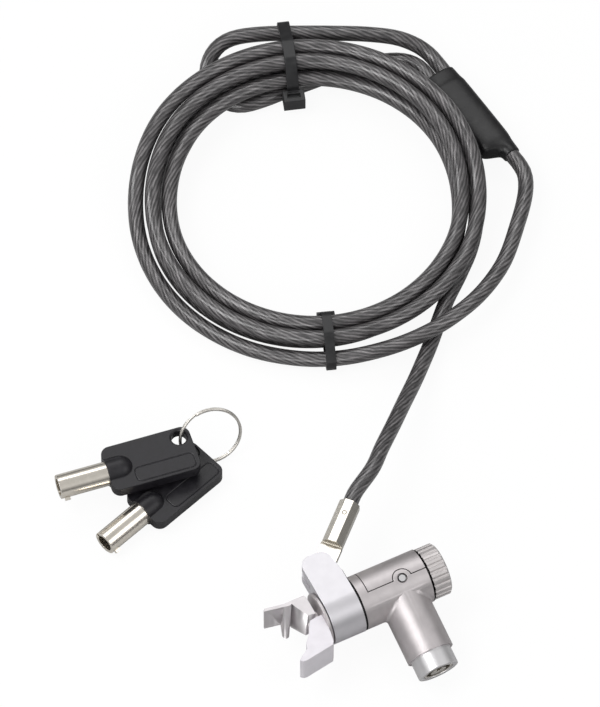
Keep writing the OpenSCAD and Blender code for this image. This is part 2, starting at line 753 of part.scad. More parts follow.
ring_r = ring_d / 2;
ring_z = (ring_r + ring_wire[1] / 2) * sin(ring_lean) + ring_wire[0] / 2 * cos(ring_lean) + 0.1;
ring_at_ = coil_at + [ring_from_coil[0], ring_from_coil[1], ring_z];
upper_key_z = 12.9;
lower_key_z = 5.4;
hole_back = head_l - 4.4;               // ring hole, behind the front of the head
hole_side = 5.3;                        // ring hole, beside the key's axis
hole_ease = 0.6;                        // bevel round both ends of that hole
bulge_r = 5.15;                         // round end of the head, over the tube
bulge_l = 5;                            // and its straight length

// Point of the ring at height z, on the side where the keys hang
function ring_pt(z) =
    let (
        s = (z - ring_z) / (ring_r * sin(ring_lean)),
        c = -sqrt(1 - s * s),
        flat = s * ring_r * cos(ring_lean))
    [ring_at_.x + c * ring_r * cos(ring_turn) - flat * sin(ring_turn),
     ring_at_.y + c * ring_r * sin(ring_turn) + flat * cos(ring_turn), z];

module key_ring() {
    color([0.72, 0.68, 0.6])
        translate(ring_at_)
            rotate([0, 0, ring_turn])
                rotate([ring_lean, 0, 0])
                    rotate_extrude($fn = 96)
                        translate([ring_r - ring_wire[1] / 2, -ring_wire[0] / 2])
                            square([ring_wire[1], ring_wire[0]]);
}

// Middle of a key's hole: below the ring's middle the wire runs flatter and the
// key hangs nearer to the middle of the ring; above it, it is pulled outwards
function hang_pt(z) = ring_pt(z) + (z < ring_z ? 0.5 : -0.5) * [cos(ring_turn), sin(ring_turn), 0];

// A key hung on the ring: its tube points to +X
module at_key(z, turn) {
    translate(hang_pt(z)) rotate([0, 0, turn]) translate([hole_back, hole_side, 0]) children();
}

module key_tube() {
    color([0.74, 0.7, 0.62])
        difference() {
            union() {
                rod_x(key_tube_d / 2, -bulge_l, key_tube_l);
                translate([key_tube_l - 3.2, -0.7, 0]) cube([2, 1.4, key_tube_d / 2 + 0.55]);
            }
            rod_x(key_tube_id / 2, -bulge_l - 1, key_tube_l + 1);
            translate([key_tube_l - 1.6, -0.6, -key_tube_d]) cube([4, 1.2, key_tube_d]);
        }
}

module key_head() {
    corner = 3.4;
    color([0.09, 0.09, 0.1])
        difference() {
            union() {
                translate([0, 0, -head_t / 2]) linear_extrude(head_t) {
                    translate([-head_l + corner, -head_w / 2]) square([head_l - 2 * corner, head_w]);
                    translate([-head_l, -head_w / 2 + corner]) square([head_l, head_w - 2 * corner]);
                    for (x = [-head_l + corner, -corner]) for (y = [-1, 1])
                        translate([x, y * (head_w / 2 - corner)]) circle(r = corner);
                }
                rod_x(bulge_r, -bulge_l, 0);
                translate([-bulge_l, 0, 0]) sphere(r = bulge_r);
            }
            rod_x(key_tube_d / 2, -bulge_l, 1);
            translate([-hole_back, -hole_side, -head_t])
                cylinder(d = ring_hole_d, h = head_t * 2);
            for (side = [0, 1]) mirror([0, 0, side])
                translate([-hole_back, -hole_side, head_t / 2 - hole_ease])
                    cylinder(d1 = ring_hole_d, d2 = ring_hole_d + 2.2 * hole_ease, h = 1.1 * hole_ease);
            for (side = [0, 1]) mirror([0, 0, side])
                translate([-head_l + 11.5, -head_w / 2 + 2.4, head_t / 2 - 0.3])
                    cube([12, head_w - 4.8, 1]);
        }
}

module upper_key_tube() { at_key(upper_key_z, upper_key_turn) key_tube(); }
module upper_key_head() { at_key(upper_key_z, upper_key_turn) key_head(); }
module lower_key_tube() { at_key(lower_key_z, lower_key_turn) key_tube(); }
module lower_key_head() { at_key(lower_key_z, lower_key_turn) key_head(); }

// ---- The pieces ----------------------------------------------------------

cable_coil();
cable_lead();
cable_loop();
ferrule();
shrink_sleeve();
far_tie();
near_tie();
cable_terminal();
terminal_rivet();
swivel_collar();
barrel_housing();
barrel_shell();
shell_dowels();
collar_washer();
front_ring();
foot_jaw();
claw_jaw();
draw_screw();
drive_nut();
nut_clip();
knob();
lock_plunger();
lock_core();
tumbler_pins();
plunger_spring();
lock_bolt();
key_ring();
upper_key_tube();
upper_key_head();
lower_key_tube();
lower_key_head();
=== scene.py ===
"""Looks for a laptop cable lock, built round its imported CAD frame.

Each sub-assembly is a class that holds its own sizes and builds its own pieces. Lengths in the
classes are in millimetres and become metres in the mesh. Every piece keeps its place in its mesh.
"""

import json
import logging
import math
from dataclasses import dataclass, field
from enum import Enum
from typing import Callable, Sequence

import bmesh
import bpy
from bmesh.types import BMEdge, BMesh, BMVert
from bpy.types import Material, Node, NodeOutputs, NodeSocket, Object, World
from mathutils import Matrix, Vector


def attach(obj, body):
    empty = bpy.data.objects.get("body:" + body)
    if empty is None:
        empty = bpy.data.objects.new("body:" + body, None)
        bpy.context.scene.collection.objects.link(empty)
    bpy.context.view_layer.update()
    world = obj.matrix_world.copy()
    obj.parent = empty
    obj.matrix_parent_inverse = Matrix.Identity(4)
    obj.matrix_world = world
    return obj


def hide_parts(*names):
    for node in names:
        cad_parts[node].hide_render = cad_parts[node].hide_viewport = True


Pair = tuple[float, float]
Triple = tuple[float, float, float]
Edit = Callable[[BMesh], None]

log = logging.getLogger("cable_lock")
MM = 0.001
FRAME_HEIGHT = 707  # rows of the rendered picture
SHARP_DEGREES = 32  # edges turned by more than this are rounded
# painted shade of the joint lines
JOINT_SHADE = (0.006, 0.005, 0.006)  # what is seen in the joint lines
KEY_BLACK = (0.0075, 0.0068, 0.0092)

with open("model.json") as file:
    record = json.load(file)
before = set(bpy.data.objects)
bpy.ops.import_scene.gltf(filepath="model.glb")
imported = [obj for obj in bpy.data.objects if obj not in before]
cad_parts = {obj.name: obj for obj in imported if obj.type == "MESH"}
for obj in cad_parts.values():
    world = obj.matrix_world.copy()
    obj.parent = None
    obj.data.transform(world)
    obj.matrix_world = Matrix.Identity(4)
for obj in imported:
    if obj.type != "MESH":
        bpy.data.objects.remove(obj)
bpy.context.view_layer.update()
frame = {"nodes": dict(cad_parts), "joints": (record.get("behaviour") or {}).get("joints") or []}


@dataclass(frozen=True)
class Along:
    """A line of reference: a place, in millimetres on the table, and the direction of its axis."""

    place: Triple
    turn: float
    tilt: float = 0.0

    def inside(self, point: Vector) -> Vector:
        """Brings a mesh point into this frame.

        Args:
            point: The point in the mesh, in metres.

        Returns:
            The point in this frame, in millimetres.
        """
        return self.rotation().inverted() @ (point / MM - Vector(self.place))

    def outside(self, point: Vector) -> Vector:
        """Brings a point of this frame into the mesh.

        Args:
            point: The point in this frame, in millimetres.

        Returns:
            The point in the mesh, in metres.
        """
        return (self.rotation() @ point + Vector(self.place)) * MM

    def rotation(self) -> Matrix:
        """Works out the frame's rotation.

        Returns:
            The rotation.
        """
        return (Matrix.Rotation(math.radians(self.turn), 3, "Z")
                @ Matrix.Rotation(math.radians(self.tilt), 3, "X"))


LOCK = Along((24.05, -32.8, 17.2), 26.5, 16.0)
RIVET_IN_HEAD = Vector((6.3, 14.7, 5.3))
SOCKET_LINE = Along(tuple(Along(LOCK.place, LOCK.turn).outside(RIVET_IN_HEAD) / MM), 69.5)
HOLE_IN_KEY = (-29.2, -5.3)


def key_line(body: str, turn: float) -> Along:
    """Finds a key's own frame, whose X runs out of its tube, from the joint at its ring hole.

    Args:
        body: The key's body.
        turn: The turn of its tube on the table, in degrees.

    Returns:
        The frame, with its origin where the tube leaves the head.
    """
    joint = next(j for j in frame["joints"] if j["name"] == body + "_swing")
    hole = Along(tuple(c / MM for c in joint["pos_m"]), turn)
    return Along(tuple(hole.outside(Vector((-HOLE_IN_KEY[0], -HOLE_IN_KEY[1], 0))) / MM), turn)


UPPER_KEY = key_line("upper_key", 198.1)
LOWER_KEY = key_line("lower_key", 224.1)


# ---------------------------------------------------------------- materials


class NodeSheet:
    """A small helper that lays out the nodes of one material or world."""

    def __init__(self, holder: Material | World, surface: str = "Principled BSDF") -> None:
        """Opens the nodes.

        Args:
            holder: The material or world.
            surface: The name of its surface node.
        """
        holder.use_nodes = True
        self.nodes = holder.node_tree.nodes
        self.links = holder.node_tree.links
        self.surface = self.nodes[surface]

    def add(self, kind: str, **values: object) -> Node:
        """Adds a node and sets its properties or input sockets.

        Args:
            kind: The node's type, without the ShaderNode prefix.
            **values: Properties of the node, or inputs with spaces written as underscores.

        Returns:
            The new node.
        """
        node = self.nodes.new("ShaderNode" + kind)
        for key, value in values.items():
            if hasattr(node, key):
                setattr(node, key, value)
            else:
                node.inputs[key.replace("_", " ")].default_value = value
        return node

    def join(self, source: NodeSocket | float, target: NodeSocket) -> None:
        """Links a socket to an input, or sets the input to a number.

        Args:
            source: The output or the number.
            target: The input.
        """
        if isinstance(source, (int, float)):
            target.default_value = source
        else:
            self.links.new(source, target)

    def dress(self, **values: NodeSocket | float) -> None:
        """Feeds inputs of the surface.

        Args:
            **values: Sockets or numbers, by the input's name with spaces written as underscores.
        """
        for key, value in values.items():
            self.join(value, self.surface.inputs[key.replace("_", " ")])

    def roughen(self, pattern: NodeSocket, middle: float, spread: float) -> None:
        """Lets the surface's roughness follow a pattern.

        Args:
            pattern: The pattern, from 0 to 1.
            middle: The middle roughness.
            spread: The roughest less the smoothest.
        """
        self.dress(Roughness=self.maths("MULTIPLY_ADD", pattern, spread, middle - spread / 2))

    def coordinates(self, scale: Sequence[float] = (1, 1, 1), own_uv: bool = False) -> NodeSocket:
        """Gives pattern coordinates in millimetres on the object, or the piece's own UV map.

        Args:
            scale: Stretch of the pattern along each axis.
            own_uv: Whether to read the UV map in place of the object's coordinates.

        Returns:
            The vector socket to feed a texture.
        """
        source = self.add("TexCoord")
        mapping = self.add("Mapping")
        mapping.inputs["Scale"].default_value = scale if own_uv else [s / MM for s in scale]
        self.join(source.outputs["UV" if own_uv else "Object"], mapping.inputs["Vector"])
        return mapping.outputs["Vector"]

    def placed(self, line: Along) -> NodeOutputs:
        """Gives the surface's coordinates in a frame of its own, in metres.

        Args:
            line: The frame.

        Returns:
            The sockets X, Y and Z.
        """
        source = self.add("TexCoord")
        local = self.add("Mapping", vector_type="TEXTURE")
        local.inputs["Location"].default_value = [c * MM for c in line.place]
        local.inputs["Rotation"].default_value = line.rotation().to_euler()
        self.join(source.outputs["Object"], local.inputs["Vector"])
        split = self.add("SeparateXYZ")
        self.join(local.outputs["Vector"], split.inputs[0])
        return split.outputs

    def maths(self, operation: str, *values: object) -> NodeSocket:
        """Adds a Math node.

        Args:
            operation: The node's operation.
            *values: Sockets or numbers for its inputs.

        Returns:
            The node's output socket.
        """
        node = self.add("Math", operation=operation)
        for value, target in zip(values, node.inputs):
            self.join(value, target)
        return node.outputs[0]

    def away(self, value: NodeSocket, place_mm: float) -> NodeSocket:
        """Gives how far a length is from a given one.

        Args:
            value: The length, in metres.
            place_mm: The given length, in millimetres.

        Returns:
            The distance, in metres.
        """
        return self.maths("ABSOLUTE", self.maths("SUBTRACT", value, place_mm * MM))

    def noise(self, where: NodeSocket, **values: float) -> NodeSocket:
        """Adds a noise texture.

        Args:
            where: Its coordinates.
            **values: Its inputs.

        Returns:
            The noise, from 0 to 1.
        """
        node = self.add("TexNoise", **values)
        self.join(where, node.inputs["Vector"])
        return node.outputs["Fac"]

    def mix_colour(self, share: NodeSocket, colour: NodeSocket, other: Sequence[float]) -> NodeSocket:
        """Mixes a fixed colour into another.

        Args:
            share: The share of the fixed colour.
            colour: The colour that it is mixed into.
            other: The fixed colour.

        Returns:
            The mixed colour.
        """
        mix = self.add("Mix", data_type="RGBA")
        self.join(share, mix.inputs[0])
        self.join(colour, mix.inputs[6])
        mix.inputs[7].default_value = (*other, 1)
        return mix.outputs[2]

    def ramp(self, factor: NodeSocket, stops: Sequence[tuple]) -> NodeSocket:
        """Turns a value into a colour.

        Args:
            factor: The value, from 0 to 1.
            stops: Pairs of a position and a colour.

        Returns:
            The colour socket.
        """
        node = self.add("ValToRGB")
        elements = node.color_ramp.elements
        while len(elements) < len(stops):
            elements.new(0.5)
        for element, (place, colour) in zip(elements, stops):
            element.position = place
            element.color = (*colour, 1)
        self.join(factor, node.inputs["Fac"])
        return node.outputs["Color"]

    def bump(self, height: NodeSocket, strength: float, depth_mm: float,
             under: NodeSocket | None = None) -> NodeSocket:
        """Adds a bump to the surface.

        Args:
            height: The height, from 0 to 1.
            strength: Strength of the bump.
            depth_mm: Depth of the full height, in millimetres.
            under: The normal of a bump below this one.

        Returns:
            The normal socket.
        """
        node = self.add("Bump", Strength=strength, Distance=depth_mm * MM)
        self.join(height, node.inputs["Height"])
        if under is not None:
            self.join(under, node.inputs["Normal"])
        return node.outputs["Normal"]


@dataclass(frozen=True)
class Look:
    """A material that is laid out with nodes."""

    name: str

    def build(self) -> Material:
        """Makes the material.

        Returns:
            The material.
        """
        material = bpy.data.materials.new(self.name)
        self.lay(NodeSheet(material))
        return material

    def lay(self, sheet: NodeSheet) -> None:
        """Lays out the nodes, in a way of its own for each look.

        Args:
            sheet: The material's nodes.
        """
        raise NotImplementedError


@dataclass(frozen=True)
class SatinMetal(Look):
    """A cast or turned metal surface with fine grain and faint mottling, and painted shade in any joint
    lines it is given.
    """

    colour: Triple
    roughness: float = 0.36
    metallic: float = 0.9
    grain_mm: float = 0.16
    grain_depth: float = 0.02
    mottle: float = 0.05
    cloud_scale: float = 0.22
    grain_strength: float = 0.35
    spread: float = 0.14
    # places along the lock's axis where the shade of a joint line is painted
    joints: tuple[float, ...] = ()
    joint_mm: float = 0.3

    def shadow(self, sheet: NodeSheet) -> NodeSocket:
        """Paints the shade of the joint lines, which run round the lock's axis.

        Args:
            sheet: The material's nodes.

        Returns:
            A socket that is 1 in a joint line and 0 elsewhere.
        """
        along = sheet.placed(LOCK)["X"]
        dark = None
        for place in self.joints:
            line = sheet.maths("LESS_THAN", sheet.away(along, place), self.joint_mm * MM)
            dark = line if dark is None else sheet.maths("MAXIMUM", dark, line)
        return dark

    def lay(self, sheet: NodeSheet) -> None:
        """Lays out the nodes.

        Args:
            sheet: The material's nodes.
        """
        where = sheet.coordinates()
        grain = sheet.noise(where, Scale=1 / self.grain_mm, Detail=3.0, Roughness=0.6)
        cloud = sheet.noise(where, Scale=self.cloud_scale, Detail=2.0)
        low = tuple(c * (1 - self.mottle) for c in self.colour)
        high = tuple(min(1, c * (1 + self.mottle)) for c in self.colour)
        colour = sheet.ramp(cloud, [(0.35, low), (0.65, high)])
        if self.joints:
            colour = sheet.mix_colour(self.shadow(sheet), colour, JOINT_SHADE)
        sheet.dress(Base_Color=colour, Metallic=self.metallic,
                    Normal=sheet.bump(grain, self.grain_strength, self.grain_depth))
        sheet.roughen(grain, self.roughness, self.spread)


@dataclass(frozen=True)
class PlatedMetal(Look):
    """Bright plate with a soft, uneven sheen."""

    colour: Triple
    roughness: float = 0.16
    streak: Triple = (0.5, 0.5, 1.2)
    spread: float = 0.08
    dull: float = 0.9

    def with_painted_shade(self, sheet: NodeSheet, colour: NodeSocket) -> NodeSocket:
        """Leaves the colour of plain plate as it is, with no painted shade.

        Args:
            sheet: The material's nodes.
            colour: The plate's colour.

        Returns:
            The colour.
        """
        return colour

    def lay(self, sheet: NodeSheet) -> None:
        """Lays out the nodes.

        Args:
            sheet: The material's nodes.
        """
        streaks = sheet.noise(sheet.coordinates(self.streak), Scale=1.2, Detail=4.0, Roughness=0.65)
        cloud = sheet.noise(sheet.coordinates(), Scale=0.3, Detail=2.0)
        dull = tuple(c * self.dull for c in self.colour)
        plain = sheet.ramp(cloud, [(0.3, dull), (0.7, self.colour)])
        sheet.dress(Base_Color=self.with_painted_shade(sheet, plain), Metallic=1.0,
                    Normal=sheet.bump(streaks, 0.05, 0.006))
        sheet.roughen(streaks, self.roughness, self.spread)


@dataclass(frozen=True)
class CrimpedMetal(PlatedMetal):
    """The terminal's plate, with painted shade at its shoulder and round the punch mark on its upper face.
    """

    line: Along = SOCKET_LINE
    shoulder_at: float = 11.3
    shoulder_reach: float = 0.9
    punch_at: float = 24.7
    punch_r: float = 0.75
    punch_line: float = 0.22
    deepest_shade: float = 0.85
    # colour of the painted shade at the shoulder and round the punch mark
    shade_colour: Triple = (0.10, 0.085, 0.065)

    def with_painted_shade(self, sheet: NodeSheet, colour: NodeSocket) -> NodeSocket:
        """Paints shade on the plate at the shoulder and round the punch mark.

        Args:
            sheet: The material's nodes.
            colour: The plate's colour.

        Returns:
            The colour with its painted shade.
        """
        place = sheet.placed(self.line)
        off = sheet.maths("DIVIDE", sheet.away(place["X"], self.shoulder_at), self.shoulder_reach * MM)
        corner = sheet.maths("SUBTRACT", 1.0, off)
        ahead = sheet.away(place["X"], self.punch_at)
        across = sheet.maths("MULTIPLY", place["Y"], place["Y"])
        reach = sheet.maths("SQRT", sheet.maths("MULTIPLY_ADD", ahead, ahead, across))
        punch_shade_rim = sheet.maths("LESS_THAN", sheet.away(reach, self.punch_r), self.punch_line * MM)
        ring = sheet.maths("MULTIPLY", punch_shade_rim, sheet.maths("GREATER_THAN", place["Z"], 0.0))
        # painted shade: a band across the shoulder and a ring round the punch mark on the upper face
        share = sheet.maths("MINIMUM", self.deepest_shade, sheet.maths("MAXIMUM", corner, ring))
        return sheet.mix_colour(share, colour, self.shade_colour)


@dataclass(frozen=True)
class MouldedPlastic(Look):
    """Moulded or shrunk plastic with a fine eggshell texture."""

    colour: Triple
    roughness: float = 0.42
    texture_mm: float = 0.25
    texture_depth: float = 0.02
    ripple: float = 0.0
    ripple_depth: float = 0.5
    spread: float = 0.2

    def lay(self, sheet: NodeSheet) -> None:
        """Lays out the nodes.

        Args:
            sheet: The material's nodes.
        """
        where = sheet.coordinates()
        fine = sheet.noise(where, Scale=1 / self.texture_mm, Detail=2.0)
        wide = sheet.noise(where, Scale=0.35, Detail=3.0)
        worn = tuple(min(1, c * 1.5 + 0.004) for c in self.colour)
        normal = sheet.bump(fine, 0.4, self.texture_depth)
        if self.ripple:
            normal = sheet.bump(wide, self.ripple, self.ripple_depth, normal)
        sheet.dress(Base_Color=sheet.ramp(wide, [(0.4, self.colour), (0.75, worn)]), IOR=1.47, Normal=normal)
        sheet.roughen(wide, self.roughness, self.spread)


@dataclass(frozen=True)
class GroovedHead(MouldedPlastic):
    """Key head plastic with the fine outline that is moulded along one side of the head."""

    key: Along = UPPER_KEY
    middle: Pair = (-20.8, 5.2)
    half: Pair = (11.2, 3.0)
    corner: float = 1.8
    groove_mm: float = 0.32
    groove_depth: float = 0.3

    def lay(self, sheet: NodeSheet) -> None:
        """Lays out the nodes.

        Args:
            sheet: The material's nodes.
        """
        super().lay(sheet)
        place = sheet.placed(self.key)
        over = []
        for axis, middle, half in zip("XY", self.middle, self.half):
            past = sheet.maths("SUBTRACT", sheet.away(place[axis], middle), (half - self.corner) * MM)
            over.append(sheet.maths("MAXIMUM", past, 0.0))
        squares = sheet.maths("ADD", *(sheet.maths("POWER", length, 2.0) for length in over))
        edge = sheet.away(sheet.maths("SQRT", squares), self.corner)
        line = sheet.add("MapRange", From_Min=0.0, From_Max=self.groove_mm * MM, To_Min=0.0, To_Max=1.0)
        sheet.join(edge, line.inputs["Value"])
        old = sheet.surface.inputs["Normal"].links[0].from_socket
        sheet.dress(Normal=sheet.bump(line.outputs["Result"], 0.6, self.groove_depth, old))


@dataclass(frozen=True)
class StrandedCable(Look):
    """Twisted steel strands seen through a smoky clear jacket, on a tube's own UV map, with painted shade in
    the valleys between strands and wires and painted highlight on their crowns.

    The UV map runs in millimetres along the cable and once round it.
    """

    strands: int = 13
    wires: int = 3
    lay_mm: float = 54.0
    wire_lay: float = 1.9
    sway: float = 0.07
    strand_tone: float = 0.34
    wire_tone: float = 0.12
    haze_tone: float = 0.95
    low_tone: float = 0.18
    # from dark to light: painted shade, the strands' own tone and painted highlight
    dark: Triple = (0.010, 0.0095, 0.010)
    middle: Triple = (0.060, 0.056, 0.058)
    light: Triple = (0.30, 0.285, 0.29)

    @staticmethod
    def ridges(sheet: NodeSheet, twist: NodeSocket, count: int) -> NodeSocket:
        """Draws round ridges that lie side by side round the cable.

        Args:
            sheet: The material's nodes.
            twist: The place round the cable, in turns, after its twist.
            count: The number of ridges.

        Returns:
            The height, from 0 to 1.
        """
        share = sheet.maths("FRACT", sheet.maths("MULTIPLY", twist, float(count)))
        return sheet.maths("SINE", sheet.maths("MULTIPLY", share, math.pi))

    def lay(self, sheet: NodeSheet) -> None:
        """Lays out the nodes.

        Args:
            sheet: The material's nodes.
        """
        sway = sheet.noise(sheet.coordinates((0.11, 2.5, 1.0), own_uv=True), Scale=1.0, Detail=2.0)
        split = sheet.add("SeparateXYZ")
        sheet.join(sheet.coordinates(own_uv=True), split.inputs[0])
        along = split.outputs["X"]
        girth = sheet.maths("MULTIPLY_ADD", sway, self.sway, split.outputs["Y"])
        twist = sheet.maths("MULTIPLY_ADD", along, 1 / self.lay_mm, girth)
        hump = self.ridges(sheet, twist, self.strands)
        wire_twist = sheet.maths("MULTIPLY_ADD", along, self.wire_lay / self.lay_mm, girth)
        ridge = self.ridges(sheet, wire_twist, self.strands * self.wires)
        lean = sheet.add("CombineXYZ")
        sheet.join(sheet.maths("MULTIPLY", along, 0.13), lean.inputs["X"])
        sheet.join(sheet.maths("MULTIPLY", twist, 16.0), lean.inputs["Y"])
        haze = sheet.noise(lean.outputs[0], Scale=1.0, Detail=3.0, Roughness=0.6)
        # painted shade and highlight: the crowns of strands and wires are lighter and the valleys between
        # them darker; the haze adds the strands' own uneven tone
        tone = sheet.maths("MULTIPLY_ADD", hump, self.strand_tone,
                           sheet.maths("MULTIPLY", ridge, self.wire_tone))
        tone = sheet.maths("MULTIPLY_ADD", haze, self.haze_tone,
                           sheet.maths("SUBTRACT", tone, self.low_tone))
        colour = sheet.ramp(tone, [(0.3, self.dark), (0.6, self.middle), (0.95, self.light)])
        strands = sheet.bump(hump, 0.45, 0.28)
        sheet.dress(Base_Color=colour, Metallic=0.3, Roughness=0.4,
                    Normal=sheet.bump(ridge, 0.3, 0.08, strands),
                    Coat_Weight=1.0, Coat_Roughness=0.13, Coat_IOR=1.52,
                    Coat_Normal=sheet.bump(haze, 0.25, 0.12))


class Finish(Enum):
    """Every finish on the lock, with the record's material slot that it stands for."""

    CABLE = ("jacket", StrandedCable("stranded_cable"))
    SLEEVE = ("black_sleeve", MouldedPlastic("shrunk_sleeve", (0.0055, 0.0052, 0.006), 0.34,
                                             texture_mm=0.3, texture_depth=0.015, ripple=0.12))
    TIE = ("nylon_black", MouldedPlastic("tie_nylon", (0.010, 0.010, 0.011), 0.36))
    FERRULE = ("soft_aluminium", SatinMetal("pressed_aluminium", (0.6, 0.6, 0.61)))
    NICKEL = ("nickel", PlatedMetal("warm_nickel", (0.93, 0.875, 0.785), 0.2))
    RING = ("nickel", PlatedMetal("ring_nickel", (0.80, 0.77, 0.72), 0.36))
    CORE = ("nickel", PlatedMetal("core_nickel", (0.88, 0.84, 0.78), 0.24))
    HOUSING = ("satin_silver", SatinMetal("satin_housing", (0.60, 0.565, 0.57), 0.46, joints=(13.0, 40.2)))
    COLLAR = ("bright_silver", SatinMetal("bright_collar", (0.73, 0.715, 0.745), 0.42,
                                          mottle=0.02, joints=(12.6,), joint_mm=0.15))
    # painted light and shade: the foot and the claw share the pale_silver slot; the foot's copy is lighter,
    # as painted light on its faces, and the claw's darker, as painted shade
    JAW = ("pale_silver", SatinMetal("pale_silver_lit_jaw", (0.77, 0.745, 0.785), 0.5, 0.25, mottle=0.03))
    CLAW = ("pale_silver", SatinMetal("pale_silver_shaded_claw", (0.63, 0.605, 0.615), 0.38, 0.92, mottle=0.04))
    TERMINAL = ("nickel", CrimpedMetal("crimped_nickel", (0.90, 0.86, 0.78), 0.2))
    KNOB = ("knob_silver", SatinMetal("satin_knob", (0.64, 0.61, 0.605), 0.46,
                                      joints=(40.5,), joint_mm=0.35))
    POLISHED = ("polished", SatinMetal("bright_cylinder", (0.80, 0.79, 0.80), 0.40, 0.95, mottle=0.02))
    SPRING = ("spring_steel", SatinMetal("spring_steel", (0.2, 0.2, 0.21), 0.3))
    BRASS = ("yellow_brass", SatinMetal("turned_brass", (0.66, 0.52, 0.25), 0.3, 1.0))
    WASHER = ("black_nylon_washer", MouldedPlastic("washer_nylon", (0.004, 0.004, 0.0045), 0.6))
    # painted shade: near black for the walls of the joint lines and the roundings in shadow
    GROOVE = ("satin_silver", MouldedPlastic("groove_dark", (0.004, 0.0035, 0.004), 0.8))
    UPPER_HEAD = ("key_black", GroovedHead("upper_head_black", KEY_BLACK, 0.40, 0.3, 0.03))
    LOWER_HEAD = ("key_black", GroovedHead("lower_head_black", KEY_BLACK, 0.40, 0.3, 0.03, key=LOWER_KEY))

    def material(self) -> Material:
        """Makes the finish's material once and keeps it.

        Returns:
            The material.
        """
        made = bpy.data.materials.get(self.value[1].name)
        return made or self.value[1].build()

    @property
    def slot(self) -> str:
        """Names the record's material slot.

        Returns:
            The slot.
        """
        return self.value[0]


# ---------------------------------------------------------------- mesh helpers


def round_hollows(bm: BMesh, width_mm: float, segments: int, clamp: bool,
                  chosen: Callable[[BMEdge], bool]) -> None:
    """Rounds edges that lie in a hollow corner.

    Args:
        bm: The mesh.
        width_mm: Width of the rounding.
        segments: Steps of the rounding.
        clamp: Whether roundings are kept from running into each other.
        chosen: Narrows the choice of edges.
    """
    bm.normal_update()
    edges = [e for e in bm.edges
             if len(e.link_faces) == 2 and e.calc_face_angle_signed(0) < -0.3 and chosen(e)]
    bmesh.ops.bevel(bm, geom=edges, offset=width_mm * MM, segments=segments, profile=0.5,
                    affect="EDGES", clamp_overlap=clamp)
    log.info("%d hollow edges rounded", len(edges))


def put(piece: Object, finish: Finish, body: str, *nodes: str) -> Object:
    """Gives a piece its finish and its body, and hides the CAD nodes that it stands for.

    Args:
        piece: The finished object.
        finish: Its finish.
        body: The CAD body that it moves with.
        *nodes: CAD nodes that it replaces.

    Returns:
        The same object.
    """
    piece.data.materials.clear()
    piece.data.materials.append(finish.material())
    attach(piece, body)
    if nodes:
        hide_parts(*nodes)
    log.info("%s: %d faces on %s", piece.name, len(piece.data.polygons), body)
    return piece


def from_bmesh(name: str, bm: BMesh) -> Object:
    """Turns a bmesh into a smooth object at the origin.

    Args:
        name: The piece's name.
        bm: The mesh, which is freed.

    Returns:
        The new object.
    """
    mesh = bpy.data.meshes.new(name)
    for face in bm.faces:
        face.smooth = True
    bm.to_mesh(mesh)
    bm.free()
    piece = bpy.data.objects.new(name, mesh)
    bpy.context.scene.collection.objects.link(piece)
    return piece


def loft(rings: Sequence[Sequence[Vector]], spacing_mm: float = 0.0) -> BMesh:
    """Joins rings of points into a closed skin, with a face over each end.

    Args:
        rings: The rings, each with the same number of points, in metres.
        spacing_mm: The rings' distance, for a UV map in millimetres along the skin and once round it.
            At 0 there is no map.

    Returns:
        The mesh.
    """
    bm = bmesh.new()
    uv = bm.loops.layers.uv.new("UVMap") if spacing_mm else None
    sides = len(rings[0])
    ring = bmesh.ops.create_circle(bm, cap_ends=True, segments=sides, radius=MM)["verts"]
    edges = bm.edges[:]
    marks = {}
    for step, places in enumerate(rings):
        if step:
            made = bmesh.ops.extrude_edge_only(bm, edges=edges)["geom"]
            fresh = {g for g in made if isinstance(g, BMVert)}
            edges = [e for e in made if isinstance(e, BMEdge) and set(e.verts) <= fresh]
            rank = {v: k for k, v in enumerate(ring)}
            ring = sorted(fresh, key=lambda v: next(rank[e.other_vert(v)] for e in v.link_edges
                                                    if e.other_vert(v) in rank))
        for k, (vert, place) in enumerate(zip(ring, places)):
            vert.co = place
            marks[vert] = (step, k)
    bmesh.ops.contextual_create(bm, geom=edges)
    for face in bm.faces if spacing_mm else ():
        if len(face.verts) != 4:
            continue
        ranks = [marks[loop.vert][1] for loop in face.loops]
        wraps = max(ranks) - min(ranks) > 1
        for loop in face.loops:
            step, k = marks[loop.vert]
            k = k + sides if wraps and k == 0 else k
            loop[uv].uv = (step * spacing_mm, k / sides)
    bmesh.ops.recalc_face_normals(bm, faces=bm.faces)
    return bm


def softened(node: str, name: str, width_mm: float, segments: int = 2, dark: bool = False,
             edit: Edit | None = None) -> Object:
    """Copies a CAD node and rounds its sharp edges, as casting and tumbling leave them.

    Args:
        node: The CAD node.
        name: The new piece's name.
        width_mm: Width of the rounding.
        segments: Steps of the rounding.
        dark: Whether the rounding is in shadow, with the piece's second material.
        edit: Changes the copy before it is rounded.

    Returns:
        The new object.
    """
    bm = bmesh.new()
    bm.from_mesh(frame["nodes"][node].data)
    bmesh.ops.remove_doubles(bm, verts=bm.verts, dist=0.004 * MM)
    bmesh.ops.dissolve_limit(bm, angle_limit=math.radians(1.0), verts=bm.verts, edges=bm.edges)
    if edit:
        edit(bm)
    piece = from_bmesh(name, bm)
    bevel = piece.modifiers.new("rounding", "BEVEL")
    bevel.width = width_mm * MM
    bevel.segments = segments
    bevel.limit_method = "ANGLE"
    bevel.angle_limit = math.radians(SHARP_DEGREES)
    bevel.use_clamp_overlap = True
    bevel.harden_normals = False
    bevel.material = 1 if dark else -1
    normals = piece.modifiers.new("even_normals", "WEIGHTED_NORMAL")
    normals.keep_sharp = True
    return piece


